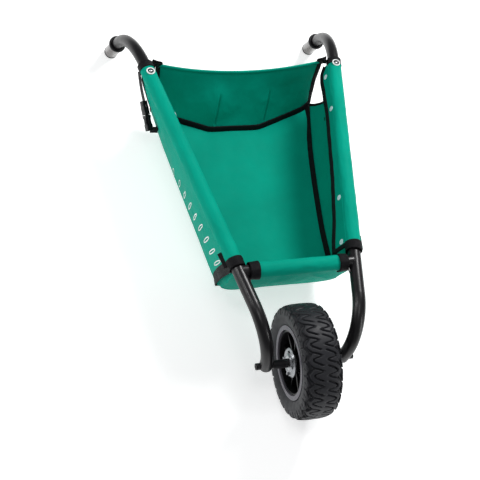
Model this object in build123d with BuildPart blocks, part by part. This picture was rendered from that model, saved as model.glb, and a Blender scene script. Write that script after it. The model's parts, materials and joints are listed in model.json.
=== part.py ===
from build123d import *
import os
from math import cos, sin, tan, radians

# Fabric-bag wheelbarrow, millimetres.  +X is the left hand of a person standing between the
# handles, +Y points back to the handles and +Z up.  It stands on its wheel and two grip ends,
# and the origin lies on the floor, below the middle of the whole barrow.

os.makedirs("parts", exist_ok=True)

# ---- Driving dimensions -------------------------------------------------------------------
WHEEL_R = 165.0            # 13 inch wheel
POLE_TILT = 2.792          # degrees that the poles drop towards the grips
ORIGIN_Y = -315.36         # crossbar axis, measured along Y from the origin
CROSSBAR_Z = 295.0         # crossbar axis above the floor

TUBE_R = 19.0
TUBE_WALL = 1.6
HALF_FRONT = 176.0         # pole axis to the mid plane, at the crossbar
HALF_REAR = 321.4          # the same, at the rear end of the fabric sleeve
POLE_RUN = 765.0           # crossbar to that rear end
LEG_BEND_R = 127.0
HANDLE_BEND_R = 251.0
AXLE_ALONG = -231.0        # axle, ahead of the crossbar and below the poles
AXLE_DROP = 141.4
AXLE_HALF = 117.0
LEG_TIP = 4.0              # the leg reaches this far past the axle's centre line

AXLE_R = 10.0
AXLE_BORE_R = 6.0
AXLE_REACH = 27.0          # axle end outside the leg's axis
SPACER_R = 13.0
HUB_HALF = 52.0
GAP = 0.3                  # clearance between pieces that do not bear on each other

GRIP_R = 22.0
GRIP_LENGTH = 106.0
COLLAR_R = 28.0
COLLAR_LENGTH = 9.0
CAP_LENGTH = 7.0

CLOTH = 2.4
SLEEVE_R = 23.5
SLEEVE_BORE_R = 20.5
CUFF_R = 25.4
WEB_WIDTH = 38.0
BINDING_R = 3.2

# Bag stations: distance behind the crossbar, half width and depth of the floor's side seam,
# and how far the floor sags in the middle.
BAG = ((34.0, 187.0, 192.0, 2.0), (250.0, 209.0, 219.0, 16.0), (500.0, 244.0, 222.0, 22.0),
       (728.0, 275.0, 203.0, 32.0))


# ---- Helpers ------------------------------------------------------------------------------
def at(across, along, above):
    """A point given across the barrow, back along the poles' plane and above that plane."""
    c = cos(radians(POLE_TILT))
    s = sin(radians(POLE_TILT))
    return Vector(across, ORIGIN_Y + along * c + above * s, CROSSBAR_Z - along * s + above * c)


def direction(start, end):
    """Unit vector from one point to another."""
    return (end - start).normalized()


def cross_plane(along):
    """Plane square to the poles' plane; sketch x runs across and sketch y runs down."""
    return Plane(origin=at(0, along, 0), x_dir=(1, 0, 0),
                 z_dir=direction(at(0, 0, 0), at(0, 1, 0)))


def pole_half(along):
    """Pole axis to the mid plane."""
    return HALF_FRONT + (HALF_REAR - HALF_FRONT) * along / POLE_RUN


def between(along, column):
    """One of the bag's station values, read between stations."""
    for low, high in zip(BAG[:-1], BAG[1:]):
        if along <= high[0] or high is BAG[-1]:
            share = (along - low[0]) / (high[0] - low[0])
            return low[column] + (high[column] - low[column]) * share


def save(piece, label):
    """Label a finished piece and write its file."""
    piece.part.label = label
    export_step(piece.part, f"parts/{label}.step")


def ring(label, start, end, outer, inner):
    """A round sleeve between two points."""
    with BuildPart() as piece:
        with BuildSketch(Plane(origin=start, z_dir=direction(start, end))):
            Circle(outer)
            if inner:
                Circle(inner, mode=Mode.SUBTRACT)
        extrude(amount=(end - start).length)
    save(piece, label)
    return piece


def lofted(label, *strips):
    """A thin piece of one or more strips, each through outlines on planes across the barrow."""
    with BuildPart() as piece:
        for stations in strips:
            outlines = []
            for along, outline in stations:
                with BuildSketch(cross_plane(along), mode=Mode.PRIVATE) as section:
                    with BuildLine():
                        Polyline(*outline, close=True)
                    make_face()
                outlines.append(section.sketch)
            loft(sections=[outline.faces()[0] for outline in outlines], ruled=True)
    save(piece, label)
    return piece


# ---- Frame --------------------------------------------------------------------------------
SIDES = (("left", 1), ("right", -1))


def side_points(sign):
    """Corner points of one bent side tube: leg tip, leg bend, handle bend, grip end."""
    axle = at(sign * AXLE_HALF, AXLE_ALONG, -AXLE_DROP)
    bend = at(sign * 133.4, -224, 0)
    tip = axle + direction(bend, axle) * LEG_TIP
    handle = at(sign * 347.9, 904.5, 0)
    grip_end = at(sign * 368.1, 1026, -236)
    return tip, bend, handle, grip_end


def axle_point(across):
    """A point on the wheel's axis."""
    return at(across, AXLE_ALONG, -AXLE_DROP)


def round_bar(start, end, radius):
    """A plain cylinder, used to cut or join."""
    return Solid.make_cylinder(radius, (end - start).length,
                               Plane(origin=start, z_dir=direction(start, end)))


def side_tube(side, sign):
    """Leg, pole and handle: one bent steel tube, coped over the axle at its foot."""
    tip, bend, handle, grip_end = side_points(sign)
    tube_end = grip_end - direction(handle, grip_end) * (CAP_LENGTH + GAP)
    axle_cut = round_bar(axle_point(-200), axle_point(200), AXLE_R + 0.15)
    with BuildPart() as piece:
        with BuildLine() as route:
            FilletPolyline(tip, bend, handle, tube_end, radius=[LEG_BEND_R, HANDLE_BEND_R])
        with BuildSketch(Plane(origin=route.line @ 0, z_dir=route.line % 0)):
            Circle(TUBE_R)
            Circle(TUBE_R - TUBE_WALL, mode=Mode.SUBTRACT)
        sweep(path=route.line)
        add(axle_cut, mode=Mode.SUBTRACT)
    save(piece, f"{side}_side_tube")


for side, sign in SIDES:
    side_tube(side, sign)

# The crossbar is coped to the outside of both side tubes.
with BuildPart() as crossbar:
    with BuildSketch(Plane(origin=at(-HALF_FRONT, 0, 0), z_dir=(1, 0, 0))):
        Circle(TUBE_R - 1)
        Circle(TUBE_R - 1 - TUBE_WALL, mode=Mode.SUBTRACT)
    extrude(amount=2 * HALF_FRONT)
    for side, sign in SIDES:
        add(round_bar(at(sign * pole_half(-60), -60, 0), at(sign * pole_half(60), 60, 0), TUBE_R + 0.1),
            mode=Mode.SUBTRACT)
save(crossbar, "crossbar")

# Pressed gussets stiffen the front corner between each side tube and the crossbar.
with BuildPart() as gussets:
    with BuildSketch(Plane(origin=at(0, 0, -3), x_dir=(1, 0, 0),
                           z_dir=direction(at(0, 0, 0), at(0, 0, 1)))):
        for side, sign in SIDES:
            with BuildLine():
                Polyline((sign * (pole_half(-18.5) - 19.6), -18.5), (sign * 147.0, -18.5),
                         (sign * (pole_half(-36) - 19.8), -36), close=True)
            make_face()
    extrude(amount=6)
save(gussets, "gussets")

# ---- Axle ---------------------------------------------------------------------------------
AXLE_END = AXLE_HALF + AXLE_REACH
with BuildPart() as axle:
    with BuildSketch(Plane(origin=axle_point(-AXLE_END), z_dir=(1, 0, 0))):
        Circle(AXLE_R)
        Circle(AXLE_BORE_R, mode=Mode.SUBTRACT)
    extrude(amount=2 * AXLE_END)
    for side, sign in SIDES:
        add(round_bar(axle_point(sign * AXLE_HALF) - Vector(0, 0, 14),
                      axle_point(sign * AXLE_HALF) + Vector(0, 0, 14), 3.2), mode=Mode.SUBTRACT)
save(axle, "axle")

for side, sign in SIDES:
    inner_end = HUB_HALF + 0.6
    outer_end = AXLE_HALF - TUBE_R - 1.4
    ring(f"{side}_axle_spacer", axle_point(sign * inner_end), axle_point(sign * outer_end),
         SPACER_R, AXLE_R + 0.15)

# Push-in caps close the axle's ends.
with BuildPart() as axle_caps:
    for side, sign in SIDES:
        face = axle_point(sign * (AXLE_END + 0.1))
        add(round_bar(face, face + Vector(sign * 3, 0, 0), AXLE_R))
        add(round_bar(face + Vector(sign * 0.5, 0, 0), face - Vector(sign * 10, 0, 0),
                      AXLE_BORE_R - 0.1))
save(axle_caps, "axle_caps")

# The plug in each leg's foot takes the screw that holds the axle up into the leg.
with BuildPart() as leg_plugs:
    for side, sign in SIDES:
        tip, bend, _, _ = side_points(sign)
        centre = axle_point(sign * AXLE_HALF)
        add(round_bar(tip, tip + direction(tip, bend) * 26, TUBE_R - TUBE_WALL - 0.1))
        add(round_bar(centre, centre + Vector(0, 0, 40), 3.2), mode=Mode.SUBTRACT)
    add(round_bar(axle_point(-200), axle_point(200), AXLE_R + 0.15), mode=Mode.SUBTRACT)
save(leg_plugs, "leg_plugs")

with BuildPart() as axle_screws:
    for side, sign in SIDES:
        foot = axle_point(sign * AXLE_HALF) - Vector(0, 0, AXLE_R + 0.3)
        add(round_bar(foot - Vector(0, 0, 4), foot, 5.5))
        add(round_bar(foot - Vector(0, 0, 0.5), foot + Vector(0, 0, 28), 3.0))
save(axle_screws, "axle_screws")

# ---- Wheel --------------------------------------------------------------------------------
RIM_R = 98.0
RIM_INNER_R = 94.0
RIM_HALF = 48.5
FLANGE_R = 107.0
FLANGE_THICK = 4.5
BEAD_HALF = RIM_HALF - FLANGE_THICK - 0.5
SPOKES = 9
WHEEL_PLANE = Plane(origin=axle_point(0), x_dir=(1, 0, 0), z_dir=(0, -1, 0))
WHEEL_AXIS = Axis(axle_point(0), (1, 0, 0))


with BuildPart() as tyre:
    with BuildSketch(WHEEL_PLANE):
        with BuildLine():
            Polyline((BEAD_HALF, 99), (BEAD_HALF, 110))
            ThreePointArc((BEAD_HALF, 110), (54.5, 130), (49, 152))
            ThreePointArc((49, 152), (0, WHEEL_R), (-49, 152))
            ThreePointArc((-49, 152), (-54.5, 130), (-BEAD_HALF, 110))
            Polyline((-BEAD_HALF, 110), (-BEAD_HALF, 99), (-28, 99), (-28, 118))
            ThreePointArc((-28, 118), (-42, 134), (-30, 149))
            ThreePointArc((-30, 149), (0, WHEEL_R - 12), (30, 149))
            ThreePointArc((30, 149), (42, 134), (28, 118))
            Polyline((28, 118), (28, 99), (BEAD_HALF, 99))
        make_face()
    revolve(axis=WHEEL_AXIS)
save(tyre, "tyre")

# The valve stem stands inwards from the inner tube, through the rim and between two spokes.
VALVE_ANGLE = 20.0
VALVE_R = 3.2
valve_line = Vector(0, cos(radians(VALVE_ANGLE)), sin(radians(VALVE_ANGLE)))
valve_start = axle_point(20) + valve_line * 104
valve_end = axle_point(20) + valve_line * 62
valve_hole = round_bar(valve_start + valve_line * 10, valve_end, VALVE_R + 0.3)
ring("valve_stem", valve_start, valve_end, VALVE_R, 0)

with BuildPart() as inner_tube:
    with BuildSketch(WHEEL_PLANE):
        with Locations((0, 128)):
            Circle(21)
            Circle(19, mode=Mode.SUBTRACT)
    revolve(axis=WHEEL_AXIS)
save(inner_tube, "inner_tube")

with BuildPart() as rim_ring:
    with BuildSketch(WHEEL_PLANE):
        with BuildLine():
            inside = RIM_HALF - FLANGE_THICK
            Polyline((-RIM_HALF, RIM_INNER_R), (-RIM_HALF, FLANGE_R), (-inside, FLANGE_R),
                     (-inside, RIM_R), (inside, RIM_R), (inside, FLANGE_R), (RIM_HALF, FLANGE_R),
                     (RIM_HALF, RIM_INNER_R), close=True)
        make_face()
    revolve(axis=WHEEL_AXIS)
    add(valve_hole, mode=Mode.SUBTRACT)
save(rim_ring, "rim_ring")

with BuildPart() as rim_centre:
    with BuildSketch(WHEEL_PLANE):
        with BuildLine():
            Polyline((-39, 21.2), (-39, 31), (-4, 34), (-4, 86), (-43, 88), (-43, 93.8),
                     (43, 93.8), (43, 88), (4, 86), (4, 34), (39, 31), (39, 21.2), close=True)
        make_face()
    revolve(axis=WHEEL_AXIS)
    with BuildSketch(Plane(origin=axle_point(0), x_dir=(0, 1, 0), z_dir=(1, 0, 0))):
        with PolarLocations(58, SPOKES):
            Rectangle(60, 7)
    extrude(amount=30, both=True)
    with BuildSketch(Plane(origin=axle_point(0), x_dir=(0, 1, 0), z_dir=(1, 0, 0))):
        with PolarLocations(66, SPOKES, start_angle=180 / SPOKES):
            Circle(11)
    extrude(amount=40, both=True, mode=Mode.SUBTRACT)
    add(valve_hole, mode=Mode.SUBTRACT)
save(rim_centre, "rim_centre")

for side, sign in SIDES:
    ring(f"{side}_bearing", axle_point(sign * (HUB_HALF - 12.8)), axle_point(sign * (HUB_HALF - 0.8)),
         21.0, AXLE_R + 0.05)
    with BuildPart() as hub_flange:
        with BuildSketch(WHEEL_PLANE):
            with BuildLine():
                foot, step, face = [sign * (HUB_HALF - back) for back in (12.7, 8, 4)]
                Polyline((foot, 21.3), (sign * HUB_HALF, 21.3), (sign * HUB_HALF, 25), (face, 28),
                         (face, 38), (step, 42.5), (foot, 42.5), (foot, 39), (step, 36), (step, 27),
                         (foot, 24), close=True)
            make_face()
        revolve(axis=WHEEL_AXIS)
    save(hub_flange, f"{side}_hub_flange")

with BuildPart() as hub_nuts:
    for side, sign in SIDES:
        with BuildSketch(Plane(origin=axle_point(sign * (HUB_HALF - 3.8)), x_dir=(0, 1, 0), z_dir=(sign, 0, 0))):
            with PolarLocations(33, 4, start_angle=45):
                RegularPolygon(4.6, 6)
        extrude(amount=4.5)
save(hub_nuts, "hub_nuts")

# ---- Grips --------------------------------------------------------------------------------
for side, sign in SIDES:
    _, _, handle, grip_end = side_points(sign)
    out = direction(handle, grip_end)
    collar_start = grip_end - out * GRIP_LENGTH
    grip_start = collar_start + out * COLLAR_LENGTH
    cap_start = grip_end - out * CAP_LENGTH
    ring(f"{side}_grip_collar", collar_start, grip_start - out * 0.1, COLLAR_R, TUBE_R + 0.1)
    ring(f"{side}_grip", grip_start, cap_start - out * 0.1, GRIP_R, TUBE_R + 0.1)
    ring(f"{side}_grip_cap", cap_start, grip_end, GRIP_R, 0)

# ---- Fabric bag ---------------------------------------------------------------------------
SLEEVE_START = 60.0
SLEEVE_END = 742.0
CUFF_START = 20.0
CUFF_END = 768.0
EYELET_ALONG = 722.0
CROSSBAR_CUFF = (120.5, 146.0)
STUDS = ((77.0, 17.0), (225.0, 7.0), (559.0, 2.0), (702.0, 14.0))   # along and depth
STUD_R = 8.5
PANEL_TOP = 27.0
# The sleeve flap comes off the pole's inner side and slants further inwards: distance behind
# the crossbar and depth of its lower edge, its tilt, and how far it starts inside the pole.
FLAP = ((66.0, 53.0), (155.0, 38.0), (242.0, 29.0), (340.0, 22.0), (532.0, 19.0), (620.0, 24.0),
        (736.0, 27.0))
FLAP_TILT = 16.0
FLAP_TOP = -6.0
FLAP_IN = 25.0
FLAP_THICK = 1.6
FLAP_BINDING = 11.0
PANEL_REAR = 700.0
PANEL_STRIP_REAR = 738.0   # rear end of the strip of the side panel just below the pole
PANEL_STRIP_DEEP = 58.0
SEAM_CLEAR = 6.0           # floor edge kept inside the side panels


def pole_point(sign, along):
    """A point on a pole's axis."""
    return at(sign * pole_half(along), along, 0)


def side_across(along, depth):
    """Half width of the side panel's outer face at a depth."""
    share = depth / between(along, 2)
    return pole_half(along) + (between(along, 1) - pole_half(along)) * share


def side_strip(sign, along, top, bottom, inset, thick):
    """Outline of a thin slanted strip between two depths, set in from the side's outer face."""
    high = side_across(along, top) - inset
    low = side_across(along, bottom) - inset
    return [(sign * high, top), (sign * low, bottom), (sign * (low - thick), bottom),
            (sign * (high - thick), top)]


def flap_inside(depth):
    """How far the flap lies inside the pole's axis at a depth."""
    return FLAP_IN + depth * tan(radians(FLAP_TILT))


def flap_outline(sign, along, top, bottom, thick):
    """Outline of a thin strip of the flap between two depths."""
    high = pole_half(along) - flap_inside(top)
    low = pole_half(along) - flap_inside(bottom)
    return [(sign * high, top), (sign * low, bottom), (sign * (low - thick), bottom),
            (sign * (high - thick), top)]


for side, sign in SIDES:
    ring(f"{side}_pole_sleeve", pole_point(sign, SLEEVE_START), pole_point(sign, SLEEVE_END),
         SLEEVE_R, SLEEVE_BORE_R)
    ring(f"{side}_lower_cuff", pole_point(sign, CUFF_START), pole_point(sign, SLEEVE_START - 0.5),
         CUFF_R, SLEEVE_BORE_R)
    ring(f"{side}_upper_cuff", pole_point(sign, SLEEVE_END + 0.5), pole_point(sign, CUFF_END),
         CUFF_R, SLEEVE_BORE_R + 1)
    lofted(f"{side}_side_panel",
           [(along, side_strip(sign, along, PANEL_TOP, between(along, 2), 0, CLOTH))
            for along in (BAG[0][0], 66, 250, 500, 640)]
           + [(PANEL_REAR, side_strip(sign, PANEL_REAR, 165, between(PANEL_REAR, 2), 0, CLOTH))],
           [(along, side_strip(sign, along, PANEL_TOP, PANEL_STRIP_DEEP, 0, CLOTH))
            for along in (600, PANEL_STRIP_REAR)])
    lofted(f"{side}_sleeve_flap",
           [(along, flap_outline(sign, along, FLAP_TOP, deep, FLAP_THICK)) for along, deep in FLAP])
    lofted(f"{side}_flap_binding",
           [(along, flap_outline(sign, along, deep + 0.5, deep + FLAP_BINDING, 3)) for along, deep in FLAP])
    lofted(f"{side}_floor_seam_binding",
           [(along, side_strip(sign, along, between(along, 2) - 16, between(along, 2) - 8,
                               CLOTH + 0.8, 4)) for along in (40, 66, 250, 500, 640, 690)])

# Cuffs of webbing grip the crossbar at both ends of its sleeve.
ring("crossbar_sleeve", at(-120, 0, 0), at(120, 0, 0), SLEEVE_R, SLEEVE_BORE_R - 1)
with BuildPart() as crossbar_cuffs:
    for side, sign in SIDES:
        start = at(sign * CROSSBAR_CUFF[0], 0, 0)
        end = at(sign * CROSSBAR_CUFF[1], 0, 0)
        with BuildSketch(Plane(origin=start, z_dir=direction(start, end))):
            Circle(CUFF_R)
            Circle(SLEEVE_BORE_R - 1, mode=Mode.SUBTRACT)
        extrude(amount=(end - start).length)
save(crossbar_cuffs, "crossbar_cuffs")

# Bindings on the side panels' scooped rear edges.
with BuildPart() as panel_edge_bindings:
    for side, sign in SIDES:
        with BuildLine() as route:
            Polyline(at(sign * (side_across(652, 72) - 8), 652, -72),
                     at(sign * (side_across(684, 130) - 6), 688, -130),
                     at(sign * (side_across(706, 176) - 4), 707, -176))
        with BuildSketch(Plane(origin=route.line @ 0, z_dir=route.line % 0)):
            Circle(BINDING_R)
        sweep(path=route.line, transition=Transition.ROUND)
save(panel_edge_bindings, "panel_edge_bindings")

# Press studs hold each sleeve flap shut along its pole.
with BuildPart() as press_studs:
    for side, sign in SIDES:
        for along, depth in STUDS:
            inside = flap_inside(depth) + FLAP_THICK + 2 * GAP
            centre = at(sign * (pole_half(along) - inside), along, -depth)
            lean = radians(FLAP_TILT)
            down = direction(at(0, 0, 0), at(-sign * sin(lean), 0, -cos(lean)))
            run = direction(pole_point(sign, 0), pole_point(sign, 1))
            with BuildSketch(Plane(origin=centre, z_dir=run.cross(down) * sign)):
                Circle(STUD_R)
            extrude(amount=2.2)
save(press_studs, "press_studs")


def eyelet_plane(sign):
    """Plane on top of a pole sleeve, where the fixing screw passes through."""
    return Plane(origin=at(sign * pole_half(EYELET_ALONG), EYELET_ALONG, SLEEVE_R + GAP),
                 z_dir=direction(at(0, 0, 0), at(0, 0, 1)))


# A domed screw through a ring eyelet fixes each sleeve to its pole.
with BuildPart() as eyelets:
    for side, sign in SIDES:
        with BuildSketch(eyelet_plane(sign)):
            Circle(13)
            Circle(7, mode=Mode.SUBTRACT)
        extrude(amount=2)
save(eyelets, "eyelets")
with BuildPart() as eyelet_screws:
    for side, sign in SIDES:
        with BuildSketch(eyelet_plane(sign)):
            Circle(6)
        extrude(amount=4)
save(eyelet_screws, "eyelet_screws")

# Webbing loops tie the rear panel's top corners to the handles.
with BuildPart() as corner_loops:
    for side, sign in SIDES:
        outer = pole_half(756) - 29
        with BuildSketch(cross_plane(745)):
            with BuildLine():
                Polyline((sign * outer, -6), (sign * outer, -3.5), (sign * 264, -1.5),
                         (sign * 264, -4), close=True)
            make_face()
        extrude(amount=20)
save(corner_loops, "corner_loops")

# A webbing sling passes from one lower cuff under the bag's front end to the other.
SLING_ALONG = 50.0
SLING_HALF = 194.6
SLING_DEEP = 204.5
with BuildPart() as front_sling:
    with BuildSketch(cross_plane(SLING_ALONG)):
        with BuildLine():
            Polyline((-SLING_HALF - 2, 30), (-SLING_HALF - 2, SLING_DEEP + 2),
                     (SLING_HALF + 2, SLING_DEEP + 2), (SLING_HALF + 2, 30), (SLING_HALF, 30),
                     (SLING_HALF, SLING_DEEP), (-SLING_HALF, SLING_DEEP), (-SLING_HALF, 30),
                     close=True)
        make_face()
    extrude(amount=WEB_WIDTH)
save(front_sling, "front_sling")


def floor_outline(along):
    """Sagging floor, one cloth thick, between the two side seams."""
    half = between(along, 1) - SEAM_CLEAR
    deep = between(along, 2) - SEAM_CLEAR + CLOTH
    sag = between(along, 3)
    top = [(half * share, deep + sag * (1 - share * share)) for share in (-1, -0.5, 0, 0.5, 1)]
    return top + [(across, depth + CLOTH) for across, depth in reversed(top)]


lofted("floor_panel", [(along, floor_outline(along)) for along in (36, 250, 500, 726)])

# Front panel: hangs from the crossbar sleeve down to the front edge of the floor.
with BuildPart() as front_panel:
    for depth, half, along in ((PANEL_TOP, 138, 1), (184, 176, 31)):
        with BuildSketch(Plane(origin=at(0, 0, -depth), x_dir=(1, 0, 0),
                               z_dir=direction(at(0, 0, 0), at(0, 0, 1)))):
            with Locations((0, along)):
                Rectangle(2 * half, CLOTH)
    loft(ruled=True)
save(front_panel, "front_panel")

# ---- Rear panel ---------------------------------------------------------------------------
# A trapezium between the handle ends, with a sagging top hem and a bound lower edge.
REAR_ALONG = 752.0
REAR_LEAN = 0.09
REAR_HALF = 262.0
REAR_TOP = 8.0
REAR_TOP_SAG = 36.0
REAR_SIDE_DEEP = 192.0
REAR_MID_DEEP = 226.0
REAR_PLANE = Plane(origin=at(0, REAR_ALONG, 0), x_dir=(1, 0, 0),
                   z_dir=direction(at(0, 0, 0), at(0, 1, -REAR_LEAN)))


def rear_piece(label, top, low, thick):
    """A plate between two sagging curves, each given by its depth at the side and the middle."""
    with BuildPart() as piece:
        with BuildSketch(REAR_PLANE):
            with BuildLine():
                Line((-REAR_HALF, top[0]), (-REAR_HALF, low[0]))
                ThreePointArc((-REAR_HALF, low[0]), (0, low[1]), (REAR_HALF, low[0]))
                Line((REAR_HALF, low[0]), (REAR_HALF, top[0]))
                ThreePointArc((REAR_HALF, top[0]), (0, top[1]), (-REAR_HALF, top[0]))
            make_face()
        extrude(amount=thick)
    save(piece, label)


rear_piece("rear_panel", (REAR_TOP, REAR_TOP + REAR_TOP_SAG), (REAR_SIDE_DEEP, REAR_MID_DEEP), CLOTH)
rear_piece("rear_seam_binding", (REAR_SIDE_DEEP + 0.5, REAR_MID_DEEP + 0.5),
           (REAR_SIDE_DEEP + 7, REAR_MID_DEEP + 7), 4)

with BuildPart() as rear_side_bindings:
    with BuildSketch(REAR_PLANE):
        for side, sign in SIDES:
            with Locations((sign * (REAR_HALF + 3.2), (REAR_TOP + REAR_SIDE_DEEP) / 2)):
                Rectangle(5.5, REAR_SIDE_DEEP - REAR_TOP)
    extrude(amount=4)
save(rear_side_bindings, "rear_side_bindings")

# ---- Side buckles -------------------------------------------------------------------------
# One side-release buckle hangs outside each side panel: its body on a strap sewn to the panel,
# its tongue on a strap that runs back to the upper cuff.
BODY_PLACE = (626.0, 125.0)     # along and depth of the body's middle
TONGUE_PLACE = (667.0, 95.0)    # the same for the tongue's middle
BUCKLE_OUT = 11.0               # both lie this far outside the pole's axis
SEWN_PLACE = (560.0, 160.0)     # where the body's strap is sewn to the side panel
BUCKLE_WIDTH = 34.0
BUCKLE_THICK = 16.0
BODY_LENGTH = 50.0
TONGUE_LENGTH = 46.0
MOUTH_DEEP = 30.0
PRONG_LENGTH = 28.0
STRAP_WIDTH = 25.0
STRAP_THICK = 1.8


def buckle_point(sign, place):
    """A point on the buckle's middle line."""
    along, depth = place
    return at(sign * (pole_half(along) + BUCKLE_OUT), along, -depth)


def buckle_plane(sign, offset):
    """Plane square to the buckle; sketch x runs outwards and sketch y down."""
    middle = buckle_point(sign, BODY_PLACE)
    run = direction(middle, buckle_point(sign, TONGUE_PLACE))
    down = direction(at(0, 0, 0), at(0, 0, -1))
    return Plane(origin=middle + run * offset, x_dir=down.cross(run), z_dir=run)


def strap_plane(start, end):
    """Plane square to a straight strap; the strap's width runs down."""
    run = direction(start, end)
    down = direction(at(0, 0, 0), at(0, 0, -1))
    return Plane(origin=start, x_dir=down.cross(run), z_dir=run)


for side, sign in SIDES:
    with BuildPart() as buckle_body:
        with BuildSketch(buckle_plane(sign, -BODY_LENGTH / 2)):
            RectangleRounded(BUCKLE_THICK, BUCKLE_WIDTH, 5)
        extrude(amount=BODY_LENGTH)
        with BuildSketch(buckle_plane(sign, BODY_LENGTH / 2 - MOUTH_DEEP)):
            Rectangle(BUCKLE_THICK - 7, BUCKLE_WIDTH - 8)
        extrude(amount=MOUTH_DEEP, mode=Mode.SUBTRACT)
        with BuildSketch(buckle_plane(sign, -BODY_LENGTH / 2 + 7)):
            Rectangle(BUCKLE_THICK - 9, STRAP_WIDTH + 2)
        extrude(amount=5, mode=Mode.SUBTRACT)
    save(buckle_body, f"{side}_buckle_body")
    with BuildPart() as buckle_tongue:
        with BuildSketch(buckle_plane(sign, BODY_LENGTH / 2 + 1)):
            RectangleRounded(BUCKLE_THICK - 2, BUCKLE_WIDTH, 5)
        extrude(amount=TONGUE_LENGTH)
        with BuildSketch(buckle_plane(sign, BODY_LENGTH / 2 + 2)):
            with GridLocations(0, 9, 1, 3):
                Rectangle(BUCKLE_THICK - 9, 4)
        extrude(amount=-PRONG_LENGTH)
    save(buckle_tongue, f"{side}_buckle_tongue")
    strap_start = buckle_plane(sign, BODY_LENGTH / 2 + TONGUE_LENGTH + 6).origin
    cuff_side = at(sign * (pole_half(CUFF_END - 8) + CUFF_R + 3), CUFF_END - 8, -20)
    with BuildPart() as tongue_strap:
        with BuildSketch(strap_plane(strap_start, cuff_side)):
            Rectangle(STRAP_THICK, STRAP_WIDTH)
        extrude(amount=(cuff_side - strap_start).length)
    save(tongue_strap, f"{side}_tongue_strap")

with BuildPart() as body_straps:
    for side, sign in SIDES:
        strap_start = buckle_plane(sign, -BODY_LENGTH / 2 - 8).origin
        sewn_along, sewn_deep = SEWN_PLACE
        panel_side = at(sign * (side_across(sewn_along, sewn_deep) + 10), sewn_along, -sewn_deep)
        with BuildSketch(strap_plane(strap_start, panel_side)):
            Rectangle(STRAP_THICK, STRAP_WIDTH)
        extrude(amount=(panel_side - strap_start).length)
save(body_straps, "body_straps")
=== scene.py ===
import json
import math

import bpy
import numpy as np
from mathutils import Matrix, Vector, noise


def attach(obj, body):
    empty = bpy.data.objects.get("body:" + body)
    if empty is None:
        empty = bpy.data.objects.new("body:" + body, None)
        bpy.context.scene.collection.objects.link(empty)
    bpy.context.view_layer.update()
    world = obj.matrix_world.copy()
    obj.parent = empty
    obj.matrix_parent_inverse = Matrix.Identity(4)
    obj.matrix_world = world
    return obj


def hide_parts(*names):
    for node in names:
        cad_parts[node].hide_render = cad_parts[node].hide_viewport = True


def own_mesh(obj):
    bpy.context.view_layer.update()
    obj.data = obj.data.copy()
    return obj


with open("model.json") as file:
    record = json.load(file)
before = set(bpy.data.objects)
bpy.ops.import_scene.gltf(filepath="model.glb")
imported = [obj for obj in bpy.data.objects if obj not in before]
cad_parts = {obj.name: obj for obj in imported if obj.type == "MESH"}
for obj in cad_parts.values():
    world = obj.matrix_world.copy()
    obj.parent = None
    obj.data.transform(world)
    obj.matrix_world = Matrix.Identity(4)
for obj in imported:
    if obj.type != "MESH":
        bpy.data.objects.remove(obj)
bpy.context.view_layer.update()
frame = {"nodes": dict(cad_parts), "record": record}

# Looks for the fabric-bag wheelbarrow.  Metres, in the frame of the CAD model: +X to the left
# hand of a person between the handles, +Y back to the handles, +Z up.

# ---- Driving dimensions, as in the CAD model ----
POLE_TILT = math.radians(2.792)
ORIGIN_Y = -0.31536
CROSSBAR_Z = 0.295
TUBE_R = 0.019
HALF_FRONT = 0.176
HALF_REAR = 0.3214
POLE_RUN = 0.765
AXLE_ALONG = -0.231
AXLE_DROP = 0.1414
WHEEL_R = 0.165
CLOTH = 0.0014
CUFF_THICK = 0.002
SIDES = (("left", 1), ("right", -1))

# Side seam of the bag's floor: distance behind the crossbar, half width, depth below the poles
# and sag of the floor's middle.
SEAM_ALONG = (0.030, 0.110, 0.250, 0.500, 0.640, 0.728)
SEAM_HALF = (0.186, 0.194, 0.209, 0.243, 0.265, 0.277)
SEAM_DEEP = (0.188, 0.204, 0.219, 0.224, 0.214, 0.193)
FLOOR_SAG = (0.002, 0.006, 0.014, 0.020, 0.024, 0.026)
# Lower edge of the sleeve flap, which comes off the pole's inner side and slants inwards.
FLAP_ALONG = (0.066, 0.080, 0.155, 0.242, 0.340, 0.418, 0.532, 0.618, 0.672, 0.723, 0.742)
FLAP_DEEP = (0.059, 0.057, 0.0435, 0.035, 0.028, 0.0275, 0.0245, 0.029, 0.034, 0.033, 0.014)
FLAP_TOP = -0.0063
FLAP_IN = 0.0238
FLAP_THICK = 0.0020
FLAP_TILT = math.radians(16)
# Where each pole's sleeve starts: the cloth has slid a little on one side.
SLEEVE_START = {"left": 0.062, "right": 0.040}
SLEEVE_END = 0.744


# ---- Places ----
def at(across, along, above):
    """A point given across the barrow, back along the poles' plane and above that plane."""
    c = math.cos(POLE_TILT)
    s = math.sin(POLE_TILT)
    return Vector((across, ORIGIN_Y + along * c + above * s, CROSSBAR_Z - along * s + above * c))


def turned(across, along, above):
    """A direction given in the same terms."""
    return at(across, along, above) - at(0, 0, 0)


def pole_half(along):
    """Pole axis to the mid plane."""
    return HALF_FRONT + (HALF_REAR - HALF_FRONT) * along / POLE_RUN


def smooth_between(x, xs, ys):
    """A smooth curve through the given values."""
    k = int(np.clip(np.searchsorted(xs, x) - 1, 0, len(xs) - 2))
    width = xs[k + 1] - xs[k]
    t = (x - xs[k]) / width

    def slope(i):
        low = max(i - 1, 0)
        high = min(i + 1, len(xs) - 1)
        return (ys[high] - ys[low]) / (xs[high] - xs[low])

    a = slope(k) * width
    b = slope(k + 1) * width
    return (ys[k] * (2 * t**3 - 3 * t**2 + 1) + a * (t**3 - 2 * t**2 + t)
            + ys[k + 1] * (3 * t**2 - 2 * t**3) + b * (t**3 - t**2))


def seam_half(along):
    return smooth_between(along, SEAM_ALONG, SEAM_HALF)


def seam_deep(along):
    return smooth_between(along, SEAM_ALONG, SEAM_DEEP)


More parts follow.
